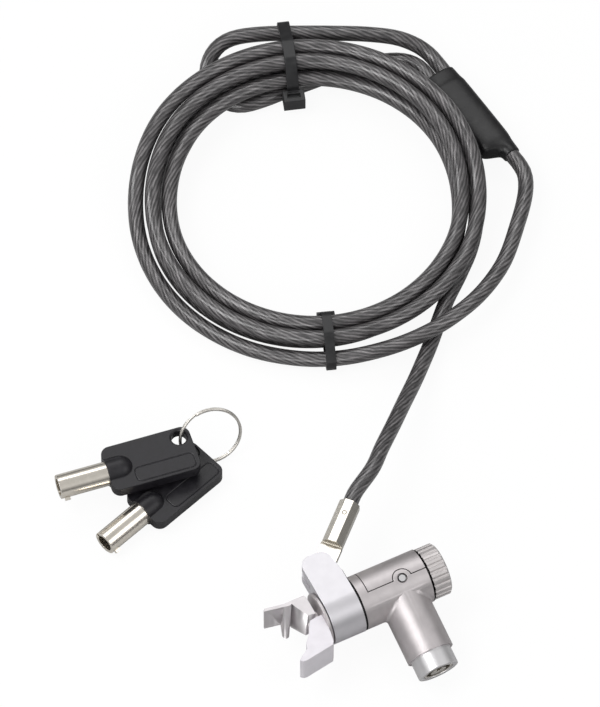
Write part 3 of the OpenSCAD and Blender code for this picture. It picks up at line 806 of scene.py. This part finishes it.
def darken(piece: Object, axis: Along, hidden: Callable[[Vector, Vector], bool]) -> None:
    """Gives the walls of a joint line the dark of its shadow.

    Args:
        piece: The piece, with its own finish in the first slot.
        axis: The frame in which the faces are tested.
        hidden: Tells from a face's middle and normal, in that frame, whether it is in a joint line.
    """
    piece.data.materials.append(Finish.GROOVE.material())
    still = Along((0, 0, 0), axis.turn, axis.tilt)
    count = 0
    for face in piece.data.polygons:
        if hidden(axis.inside(face.center), still.inside(face.normal * MM)):
            face.material_index = 1
            count += 1
    log.info("%s: %d faces in joint lines", piece.name, count)


# ---------------------------------------------------------------- camera and light


@dataclass
class Studio:
    """White table, soft light and the camera that looks down on the lock."""

    elevation: float = 58.0
    mm_per_pixel: float = 0.365
    distance: float = 5.0
    aim: Triple = (15.8, 85.3, 8.0)
    table_white: float = 0.95
    table_mirrored: float = 0.45
    table_glow: float = 0.93
    sensor_mm: float = 36.0
    sky: tuple[Pair, ...] = ((0.0, 0.16), (0.25, 0.2), (0.62, 0.62), (1.0, 0.5))

    def camera(self) -> None:
        """Makes the camera, with a long lens."""
        data = bpy.data.cameras.new("camera")
        data.sensor_fit = "AUTO"
        data.sensor_width = self.sensor_mm
        tall = self.mm_per_pixel * FRAME_HEIGHT * MM
        data.lens = self.sensor_mm * self.distance / tall
        data.clip_end = 50
        view = bpy.data.objects.new("camera", data)
        tilt = math.radians(self.elevation)
        back = Vector((0, -math.cos(tilt), math.sin(tilt)))
        view.location = Vector(self.aim) * MM + back * self.distance
        view.rotation_euler = (math.pi / 2 - tilt, 0, 0)
        bpy.context.scene.collection.objects.link(view)
        bpy.context.scene.camera = view

    def lamp(self, name: str, place: Sequence[float], size: Sequence[float], power: float) -> None:
        """Adds a soft light that faces the lock.

        Args:
            name: The lamp's name.
            place: Its place, in metres.
            size: Its width and height, in metres.
            power: Its power, in watts.
        """
        data = bpy.data.lights.new(name, "AREA")
        data.shape = "RECTANGLE"
        data.size, data.size_y = size
        data.energy = power
        obj = bpy.data.objects.new(name, data)
        obj.location = place
        toward = Vector(self.aim) * MM - Vector(place)
        obj.rotation_euler = toward.to_track_quat("-Z", "Y").to_euler()
        bpy.context.scene.collection.objects.link(obj)

    def world(self) -> None:
        """Makes a world that is white behind the table and greyer low down where metal mirrors it."""
        world = bpy.data.worlds.new("studio")
        bpy.context.scene.world = world
        sheet = NodeSheet(world, "Background")
        split = sheet.add("SeparateXYZ")
        sheet.join(sheet.add("TexCoord").outputs["Generated"], split.inputs[0])
        grey = sheet.ramp(split.outputs["Z"], [(place, (tone, tone, tone)) for place, tone in self.sky])
        seen = sheet.add("LightPath").outputs["Is Camera Ray"]
        sheet.dress(Color=sheet.mix_colour(seen, grey, (1, 1, 1)), Strength=1.0)

    def table(self) -> None:
        """Makes the white table top, which stays white and keeps soft shadows."""
        bm = bmesh.new()
        bmesh.ops.create_grid(bm, x_segments=2, y_segments=2, size=3.0)
        bmesh.ops.translate(bm, vec=(0, 0, -0.0002), verts=bm.verts)
        floor = from_bmesh("table_top", bm)
        material = bpy.data.materials.new("table_white")
        sheet = NodeSheet(material)
        seen = sheet.add("LightPath").outputs["Is Camera Ray"]
        tone = sheet.maths("MULTIPLY_ADD", seen, self.table_white - self.table_mirrored, self.table_mirrored)
        grey = sheet.add("CombineColor")
        for channel in ("Red", "Green", "Blue"):
            sheet.join(tone, grey.inputs[channel])
        sheet.dress(Base_Color=grey.outputs[0], Roughness=0.9, Specular_IOR_Level=0.1)
        glow = sheet.add("Emission", Strength=1.0)
        blend = sheet.add("MixShader")
        parts = (sheet.maths("MULTIPLY", seen, self.table_glow), sheet.surface.outputs[0], glow.outputs[0])
        for part, target in zip(parts, blend.inputs):
            sheet.join(part, target)
        sheet.join(blend.outputs[0], sheet.nodes["Material Output"].inputs["Surface"])
        floor.data.materials.append(material)

    def build(self) -> None:
        """Makes the whole studio."""
        self.camera()
        self.world()
        self.table()
        self.lamp("key_light", (-0.45, -0.1, 0.9), (0.5, 0.5), 3.6)
        self.lamp("fill_light", (0.8, -0.3, 0.7), (0.6, 0.6), 1.6)
        self.lamp("front_light", (-0.3, -0.9, 0.5), (0.7, 0.5), 3.0)
        self.lamp("back_panel", (0.0, 0.95, 1.25), (1.1, 0.5), 3.2)
        self.lamp("left_strip", (-1.0, 0.5, 0.8), (0.16, 0.9), 2.0)
        scene = bpy.context.scene
        scene.view_settings.view_transform = "Standard"


# ---------------------------------------------------------------- cable


@dataclass
class CableRoute:
    """The line of the cable: out of the terminal, round the coil, and round the end loop."""

    coil_at: Pair = (20.0, 150.5)
    inner_r: float = 51.8
    pitch: float = 6.2
    low_z: float = 4.2
    start_turn: float = -25.0
    turns: float = 3.72
    reverse_at: float = 1.5
    most_winds: float = 2.1  # the furthest wind, in cables out from the inner one
    bulge: float = 0.2  # how far the first wind leans out, in cables
    bulge_out: Pair = (0.5, 0.2)  # the turn where that starts, and the turns it takes
    bulge_in: Pair = (0.86, 0.14)
    climb: Pair = (1.25, 0.5)  # where the cable goes up on to its own winds
    descent: Pair = (3.46, 0.24)
    crossing: Pair = (-0.35, 0.95)  # sines of the turn over which the cable rises to the far side
    crossing_gap: float = 0.1
    ferrule_start: Triple = (71.4, 19.6, 7.2)
    ferrule_turn: float = 124.0
    sleeve_length: float = 44.0
    outer_guides: Pair = (-4.2, 5.0)  # guide points before and past the ferrule
    inner_guides: Triple = (5.4, 6.0, 3.0)
    socket_end: float = 30.5
    socket_depth: float = 12.0
    spacing: float = 2.4
    turn_steps: int = 120
    bend_steps: int = 8
    lead_points: list[Triple] = field(default_factory=lambda: [
        (22, -123, 22.1), (25.4, -113.2, 20.3), (29.5, -101.5, 16.6), (33.6, -89.2, 12.6),
        (37.7, -77, 8.4), (41.4, -65.4, 5.4), (44, -57.4, 4.4), (46.9, -47.8, 4.2), (50, -38.6, 4.2)])
    outer_points: list[Triple] = field(default_factory=lambda: [
        (-22.2, -61.1, 4.3), (-4.7, -65.2, 4.6), (11.6, -65.6, 5.8), (28, -63, 8.4),
        (41.5, -58.1, 10.6), (52.9, -50.2, 11), (62.7, -39.8, 10.4), (70.7, -25.9, 9.3),
        (75.8, -9, 8.6), (78.2, 1.5, 7.8), (78.9, 8.5, 7.3), (78.3, 13.7, 7.2)])
    loop_points: list[Triple] = field(default_factory=lambda: [
        (43.3, 65.8, 7.9), (38.4, 68.8, 9.3), (31, 70.7, 11.2), (20, 71.4, 12.4), (7, 71.4, 13),
        (-7, 71.4, 13), (-18, 71.2, 12.8), (-27.5, 70.3, 12), (-33.3, 68.1, 10.7),
        (-36.9, 64.2, 9.1), (-38.6, 59, 7.4), (-37.9, 53.6, 5.7), (-35, 49.2, 4.4),
        (-30.6, 46.2, 4.2), (-25, 45.4, 4.2), (-18, 47.6, 4.2), (-11, 50.8, 4.2), (-1, 55.2, 4.2),
        (9, 59.5, 4.2), (19, 63, 4.2), (27.2, 64.7, 4.6), (33.7, 64.3, 5.4), (38.2, 61.9, 6.6)])

    @staticmethod
    def eased(value: float, start: float, span: float) -> float:
        """Eases from 0 to 1 while a value goes through a span.

        Args:
            value: The value.
            start: Where the span starts.
            span: Its length.

        Returns:
            The eased share.
        """
        k = min(max((value - start) / span, 0.0), 1.0)
        return k * k * (3 - 2 * k)

    def coil_point(self, u: float) -> Vector:
        """Finds the cable's middle in the coil.

        Args:
            u: The turns of the coil before it.

        Returns:
            The point, from the coil's middle.
        """
        a = math.radians(self.start_turn + 360 * u)
        bulge = self.eased(u, *self.bulge_out) - self.eased(u, *self.bulge_in)
        winds = min(abs(u - self.reverse_at), self.most_winds) + self.bulge * bulge
        r = self.inner_r + self.pitch * winds
        z = self.low_z + (self.pitch + self.crossing_gap) * self.eased(math.sin(a), *self.crossing)
        z += self.pitch * (self.eased(u, *self.climb) - self.eased(u, *self.descent))
        return Vector((r * math.cos(a), r * math.sin(a), z))

    def ferrule_point(self, along: float, side: int) -> Vector:
        """Finds a point in one of the ferrule's two channels.

        Args:
            along: Its place along the ferrule.
            side: 1 for the outer channel and -1 for the inner one.

        Returns:
            The point, from the coil's middle.
        """
        line = Along(self.ferrule_start, self.ferrule_turn)
        return line.outside(Vector((along, -side * self.pitch / 2, 0))) / MM

    def lead_point(self, along: float) -> Vector:
        """Finds a point on the terminal's own line.

        Args:
            along: Its distance from the rivet.

        Returns:
            The point, from the coil's middle.
        """
        return SOCKET_LINE.outside(Vector((along, 0, 0))) / MM - Vector((*self.coil_at, 0))

    @staticmethod
    def through(points: Sequence[Vector], steps: int) -> list[Vector]:
        """Draws a smooth line through points, of which the first and last only guide it.

        Args:
            points: The guide points.
            steps: Points made on each stretch.

        Returns:
            The line's points.
        """
        line = []
        for a, b, c, d in zip(points, points[1:], points[2:], points[3:]):
            for j in range(steps):
                t = j / steps
                line.append(0.5 * (2 * b + (c - a) * t + (2 * a - 5 * b + 4 * c - d) * t * t
                                   + (3 * b - a - 3 * c + d) * t * t * t))
        line.append(points[-2].copy())
        return line

    def line(self) -> list[Vector]:
        """Draws the whole line: lead, coil and end loop.

        Returns:
            Its points, evenly spaced, in millimetres on the table.
        """
        step = 1 / 24
        inside = self.socket_end - self.socket_depth
        lead = [self.lead_point(s) for s in (inside - 8, inside, self.socket_end - 6,
                                             self.socket_end, self.socket_end + 6)]
        lead += [Vector(p) for p in self.lead_points] + [self.coil_point(0), self.coil_point(step)]
        length = self.sleeve_length
        channel = (length / 3, length * 2 / 3, length)
        outward = (self.outer_guides[0], 0, *channel, length + self.outer_guides[1])
        homeward = (length + self.inner_guides[0], *reversed(channel), *self.inner_guides[1:])
        end = [self.coil_point(self.turns - step), self.coil_point(self.turns)]
        end += [Vector(p) for p in self.outer_points]
        end += [self.ferrule_point(s, 1) for s in outward]
        end += [Vector(p) for p in self.loop_points]
        end += [self.ferrule_point(s, -1) for s in homeward]
        count = round(self.turns * self.turn_steps)
        coil = [self.coil_point(self.turns * i / count) for i in range(count + 1)]
        whole = self.through(lead, self.bend_steps)[:-1] + coil + self.through(end, self.bend_steps)[1:]
        shift = Vector((*self.coil_at, 0))
        return [p + shift for p in self.even(whole, self.spacing)]

    @staticmethod
    def even(points: Sequence[Vector], spacing: float) -> list[Vector]:
        """Places points at even distances along a line.

        Args:
            points: The line.
            spacing: The wanted distance, in millimetres.

        Returns:
            The evenly spaced points, both ends included.
        """
        sums = [0.0]
        for a, b in zip(points, points[1:]):
            sums.append(sums[-1] + (b - a).length)
        count = round(sums[-1] / spacing)
        made, i = [], 0
        for k in range(count + 1):
            want = sums[-1] * k / count
            while i < len(points) - 2 and sums[i + 1] < want:
                i += 1
            share = (want - sums[i]) / max(sums[i + 1] - sums[i], 1e-9)
            made.append(points[i].lerp(points[i + 1], min(share, 1.0)))
        return made


@dataclass
class Cable:
    """The clear-jacketed cable with its sleeve, ferrule and ties."""

    route: CableRoute = field(default_factory=CableRoute)
    diameter: float = 5.7
    sides: int = 20
    sleeve_sides: int = 24
    sleeve_square: float = 0.6  # how much squarer than round the sleeve is over both strands
    sleeve_cheek: float = 0.25  # how much higher it is there
    near_turn: float = 276.0
    near_width: float = 0.82
    near_head_x: float = 49.6
    near_head_length: float = 0.35  # shares of the length and height of the head as built
    near_head_height: float = 0.8
    near_head_low: float = 2.0

    def jacket(self) -> Object:
        """Sweeps the jacket along the route, ring by ring, and maps it in millimetres.

        Returns:
            The cable.
        """
        line = self.route.line()
        spacing = sum((b - a).length for a, b in zip(line, line[1:])) / (len(line) - 1)
        rings = []
        for before, place, after in zip([line[0], *line], line, [*line[1:], line[-1]]):
            ahead = (after - before).normalized()
            side = ahead.cross(Vector((0, 0, 1))).normalized()
            up = side.cross(ahead)
            ring = []
            for k in range(self.sides):
                a = 2 * math.pi * k / self.sides
                out = up * math.cos(a) - side * math.sin(a)
                ring.append((place + out * self.diameter / 2) * MM)
            rings.append(ring)
        piece = from_bmesh("cable", loft(rings, spacing))
        return put(piece, Finish.CABLE, "cable", "cable_lead", "cable_coil", "cable_loop")

    def sleeve(self) -> Object:
        """Lofts the shrunk sleeve: a neck on one strand, a shoulder, the full oval and a lower end.

        Returns:
            The sleeve.
        """
        start = Vector((*self.route.coil_at, 0)) + Vector(self.route.ferrule_start)
        axis = Along(tuple(start), self.route.ferrule_turn)
        apart = self.route.pitch / 2
        # along the sleeve, share of the second strand that is covered, and the radius over a strand
        shape = [(0.0, 0.0, 3.25), (0.25, 0.0, 3.45), (2.4, 0.0, 3.5), (3.6, 0.25, 3.55), (5.0, 0.8, 3.6),
                 (6.0, 1.0, 3.7), (7.6, 1.0, 3.95), (9.5, 1.0, 4.1), (36.0, 1.0, 4.1), (37.6, 1.0, 3.95),
                 (38.8, 1.0, 3.6), (43.7, 1.0, 3.5), (44.0, 1.0, 3.3)]
        rings = []
        for along, share, radius in shape:
            power = 2 / (2 + self.sleeve_square * share)
            ring = []
            for k in range(self.sleeve_sides):
                a = 2 * math.pi * k / self.sleeve_sides
                wide = math.copysign(abs(math.cos(a)) ** power, math.cos(a)) * (radius + apart * share)
                high = math.copysign(abs(math.sin(a)) ** power, math.sin(a))
                high *= radius + self.sleeve_cheek * share
                ring.append(axis.outside(Vector((along, wide - apart * (1 - share), high))))
            rings.append(ring)
        piece = from_bmesh("loop_sleeve", loft(rings))
        soft = piece.modifiers.new("shrunk", "SUBSURF")
        soft.levels = soft.render_levels = 2
        return piece

    def slim_tie(self) -> Object:
        """Makes the near tie: a narrower strap, with its head tucked in beside the cable.

        Returns:
            The tie.
        """
        piece = softened("near_tie", "tie_near", 0.25)
        axis = Along((*self.route.coil_at, 0), self.near_turn)
        for vert in piece.data.vertices:
            at = axis.inside(vert.co)
            at.y *= self.near_width
            if at.x < self.near_head_x:
                at.x = self.near_head_x - (self.near_head_x - at.x) * self.near_head_length
                at.z = self.near_head_low + (at.z - self.near_head_low) * self.near_head_height
            vert.co = axis.outside(at)
        return piece

    def build(self) -> None:
        piece = self.jacket()
        points = self.route.line()
        fittings = [
            put(softened("ferrule", "loop_ferrule", 0.2), Finish.FERRULE, "cable", "ferrule"),
            put(self.sleeve(), Finish.SLEEVE, "cable", "shrink_sleeve"),
            put(softened("far_tie", "tie_far", 0.25), Finish.TIE, "cable", "far_tie"),
            put(self.slim_tie(), Finish.TIE, "cable", "near_tie")]


# ---------------------------------------------------------------- lock head and keys


@dataclass
class LockHead:
    """The jaw clamp head with its collar, terminal, knob and push-in lock."""

    lock: Along = LOCK
    barrel_r: float = 10.15
    core_r: float = 7.95
    band_x: float = 13.0
    shell_x: float = 16.6
    end_x: float = 40.2
    groove: float = 0.4
    parting_y: float = -0.4
    scoop_r: float = 2.2
    scoop_least: float = 3.0  # shorter edges stay sharp
    root_r: float = 1.0
    root_top: float = -6.3  # above it the branch runs level into the barrel
    branch_x: float = 29.9
    branch_reach: float = 9.5
    washer_rim: float = 1.2
    washer_below: float = 0.12

    def build(self) -> None:
        """Builds the head's pieces over their CAD nodes."""
        plan = [
            ("cable_terminal", "terminal", "cable", Finish.TERMINAL, 0.2),
            ("terminal_rivet", "rivet", "collar", Finish.NICKEL, 0.1),
            ("swivel_collar", "collar", "collar", Finish.COLLAR, 0.6),
            ("barrel_housing", "housing", "lock_body", Finish.HOUSING, 0.2),
            ("barrel_shell", "shell", "lock_body", Finish.HOUSING, 0.22),
            ("shell_dowels", "dowels", "lock_body", Finish.POLISHED, 0.25),
            ("front_ring", "ring_front", "lock_body", Finish.HOUSING, 0.2),
            ("foot_jaw", "foot", "lock_body", Finish.JAW, 1.2),
            ("claw_jaw", "claw", "claw", Finish.CLAW, 0.8),
            ("draw_screw", "screw", "claw", Finish.SPRING, 0.2),
            ("knob", "knob_fluted", "knob_turner", Finish.KNOB, 0.12),
            ("lock_plunger", "push_cylinder", "plunger", Finish.POLISHED, 0.3),
            ("lock_core", "core_face", "core", Finish.CORE, 0.12)]
        edits = {"claw_jaw": self.scoop, "barrel_housing": self.branch_root}
        made = {}
        for node, name, body, finish, width in plan:
            dark = node in ("barrel_shell", "shell_dowels")
            piece = softened(node, name, width, 3 if width > 0.5 else 2, dark, edits.get(node))
            made[node] = put(piece, finish, body, node)
        self.joint_lines(made)
        self.washer()
        plain = {"drive_nut": Finish.BRASS, "nut_clip": Finish.SPRING, "tumbler_pins": Finish.BRASS,
                 "plunger_spring": Finish.SPRING, "lock_bolt": Finish.SPRING}
        for node, finish in plain.items():
            piece = frame["nodes"][node]
            piece.data.materials.clear()
            piece.data.materials.append(finish.material())

    def scoop(self, bm: BMesh) -> None:
        """Rounds the hollow corners between the claw's fingers, as they are cast.

        Args:
            bm: The copy of the claw.
        """
        round_hollows(bm, self.scoop_r, 6, True, lambda e: e.calc_length() > self.scoop_least * MM
                      and abs((e.verts[0].co - e.verts[1].co).normalized().z) > 0.6)

    def branch_root(self, bm: BMesh) -> None:
        """Rounds the corner where the branch leaves the barrel.

        Args:
            bm: The copy of the housing.
        """
        def near(edge: BMEdge) -> bool:
            at = self.lock.inside((edge.verts[0].co + edge.verts[1].co) / 2)
            return (at.y < self.root_top and abs(math.hypot(at.y, at.z) - self.barrel_r) < 0.3
                    and abs(at.x - self.branch_x) < self.branch_reach)

        round_hollows(bm, self.root_r, 4, False, near)

    def joint_lines(self, made: dict[str, Object]) -> None:
        """Paints shade on the walls of the gaps round the shell, the dowel, the knob and the washer.

        Args:
            made: The finished pieces by CAD node.
        """
        def wall(*ends: float) -> Callable[[Vector, Vector], bool]:
            return lambda at, out: any(abs(at.x - end) < 0.05 for end in ends) and abs(out.x) > 0.9

        def cut(at: Vector, out: Vector) -> bool:
            radial = Vector((0, at.y, at.z))
            depth = self.barrel_r - 0.02 > radial.length > self.core_r - 0.1
            side = abs(out.dot(radial.normalized())) < 0.5
            floor = radial.length < self.core_r + 0.1
            window = self.shell_x - 0.1 < at.x < self.end_x - 0.05 and at.y > self.parting_y
            return window and depth and (side or floor)

        housing, shell = wall(self.end_x, self.band_x), wall(self.end_x)
        darken(made["barrel_housing"], self.lock, lambda at, out: cut(at, out) or housing(at, out))
        darken(made["barrel_shell"], self.lock, lambda at, out: cut(at, out) or shell(at, out))
        darken(made["knob"], self.lock, wall(self.end_x + self.groove))
        made["shell_dowels"].data.materials.append(Finish.GROOVE.material())

    def washer(self) -> None:
        """Brings the washer's rim out to the barrel, so that its line shows: the washer's own black, moved
        out where it also stands for the painted shade of the joint.
        """
        piece = softened("collar_washer", "washer", 0.05)
        for vert in piece.data.vertices:
            at = self.lock.inside(vert.co)
            reach = math.hypot(at.y, at.z)
            if reach > self.barrel_r - self.washer_rim:
                at.yz = Vector((at.y, at.z)) * (self.barrel_r - self.washer_below) / reach
                vert.co = self.lock.outside(at)
        put(piece, Finish.WASHER, "lock_body", "collar_washer")


@dataclass
class Keys:
    """Two round keys on a flat ring."""

    ring_at: Triple = (-16.8, 48.0, 11.3735)
    ring_r: float = 11.4
    ring_turn: float = 18.0
    ring_lean: float = 67.0
    wire: Pair = (0.5, 0.32)  # half its width and half its thickness
    lap: float = 0.36  # half the step from one turn to the other
    winds: float = 1.96
    wind_start: float = 2.2
    wind_step: Pair = (0.9, 0.16)  # the turn where the step starts, and the turns it takes
    wire_end: float = 0.7
    wire_steps: int = 288
    wire_sides: int = 12
    head_half: float = 2.3
    recess_half: float = 2.0
    recess_x: Pair = (-22.5, -9.5)
    hole_rim: Pair = (3.2, 4.05)
    roll_turn: float = -118.0
    nib_from: float = 4.8  # a tube's nib stands further out than this
    nib_more: float = 0.5

    def split_ring(self) -> Object:
        """Winds the split ring: two flat turns of wire that lie on each other, with a step between.

        Returns:
            The ring.
        """
        line = Along(self.ring_at, self.ring_turn, self.ring_lean)
        rings = []
        for i in range(self.wire_steps + 1):
            u = self.winds * i / self.wire_steps
            a = 2 * math.pi * u + self.wind_start
            level = self.lap * (2 * CableRoute.eased(u, *self.wind_step) - 1)
            size = self.wire_end if i in (0, self.wire_steps) else 1.0
            ring = []
            for k in range(self.wire_sides):
                b = 2 * math.pi * k / self.wire_sides
                reach = self.ring_r + self.wire[0] * size * math.cos(b)
                rise = level + self.wire[1] * size * math.sin(b)
                ring.append(line.outside(Vector((reach * math.cos(a), reach * math.sin(a), rise))))
            rings.append(ring)
        return from_bmesh("split_ring", loft(rings))

    def face(self, key: Along, tighten: float) -> Edit:
        """Levels the head's faces for their moulded outline and draws the ring hole in.

        Args:
            key: The key's frame.
            tighten: How much the hole's radius shrinks.

        Returns:
            The edit for a copy of the head.
        """
        hole = Vector(HOLE_IN_KEY)

        def edit(bm: BMesh) -> None:
            for vert in bm.verts:
                at = key.inside(vert.co)
                if abs(abs(at.z) - self.recess_half) < 0.02 and self.recess_x[0] < at.x < self.recess_x[1]:
                    at.z = math.copysign(self.head_half, at.z)
                off = at.xy - hole
                if self.hole_rim[0] < off.length < self.hole_rim[1]:
                    at.xy = hole + off * (off.length - tighten) / off.length
                vert.co = key.outside(at)
            bmesh.ops.remove_doubles(bm, verts=bm.verts, dist=0.01 * MM)
            bmesh.ops.dissolve_limit(bm, angle_limit=math.radians(1.0), verts=bm.verts, edges=bm.edges)

        return edit

    def roll(self, key: Along) -> Edit:
        """Turns a tube round its own line, so that its nib and notch face up, and fills the nib out.

        Args:
            key: The key's frame.

        Returns:
            The edit for a copy of the tube.
        """
        spin = Matrix.Rotation(math.radians(self.roll_turn), 3, "X")

        def edit(bm: BMesh) -> None:
            for vert in bm.verts:
                at = key.inside(vert.co)
                if math.hypot(at.y, at.z) > self.nib_from:
                    at.z += self.nib_more
                vert.co = key.outside(spin @ at)

        return edit

    def build(self) -> None:
        """Builds the keys and the ring."""
        put(self.split_ring(), Finish.RING, "ring", "key_ring")
        plan = [("upper_key", Finish.UPPER_HEAD, UPPER_KEY, 0.5),
                ("lower_key", Finish.LOWER_HEAD, LOWER_KEY, 0.0)]
        for body, finish, key, tighten in plan:
            tube = softened(body + "_tube", body + "_pipe", 0.15, edit=self.roll(key))
            put(tube, Finish.NICKEL, body, body + "_tube")
            grip = softened(body + "_head", body + "_grip", 0.6, 3, edit=self.face(key, tighten))
            put(grip, finish, body, body + "_head")


def main() -> None:
    """Builds the studio, the cable, the head and the keys, in that order."""
    logging.basicConfig(level=logging.INFO, format="%(message)s")
    Studio().build()
    Cable().build()
    LockHead().build()
    Keys().build()


if __name__ == "__main__":
    main()
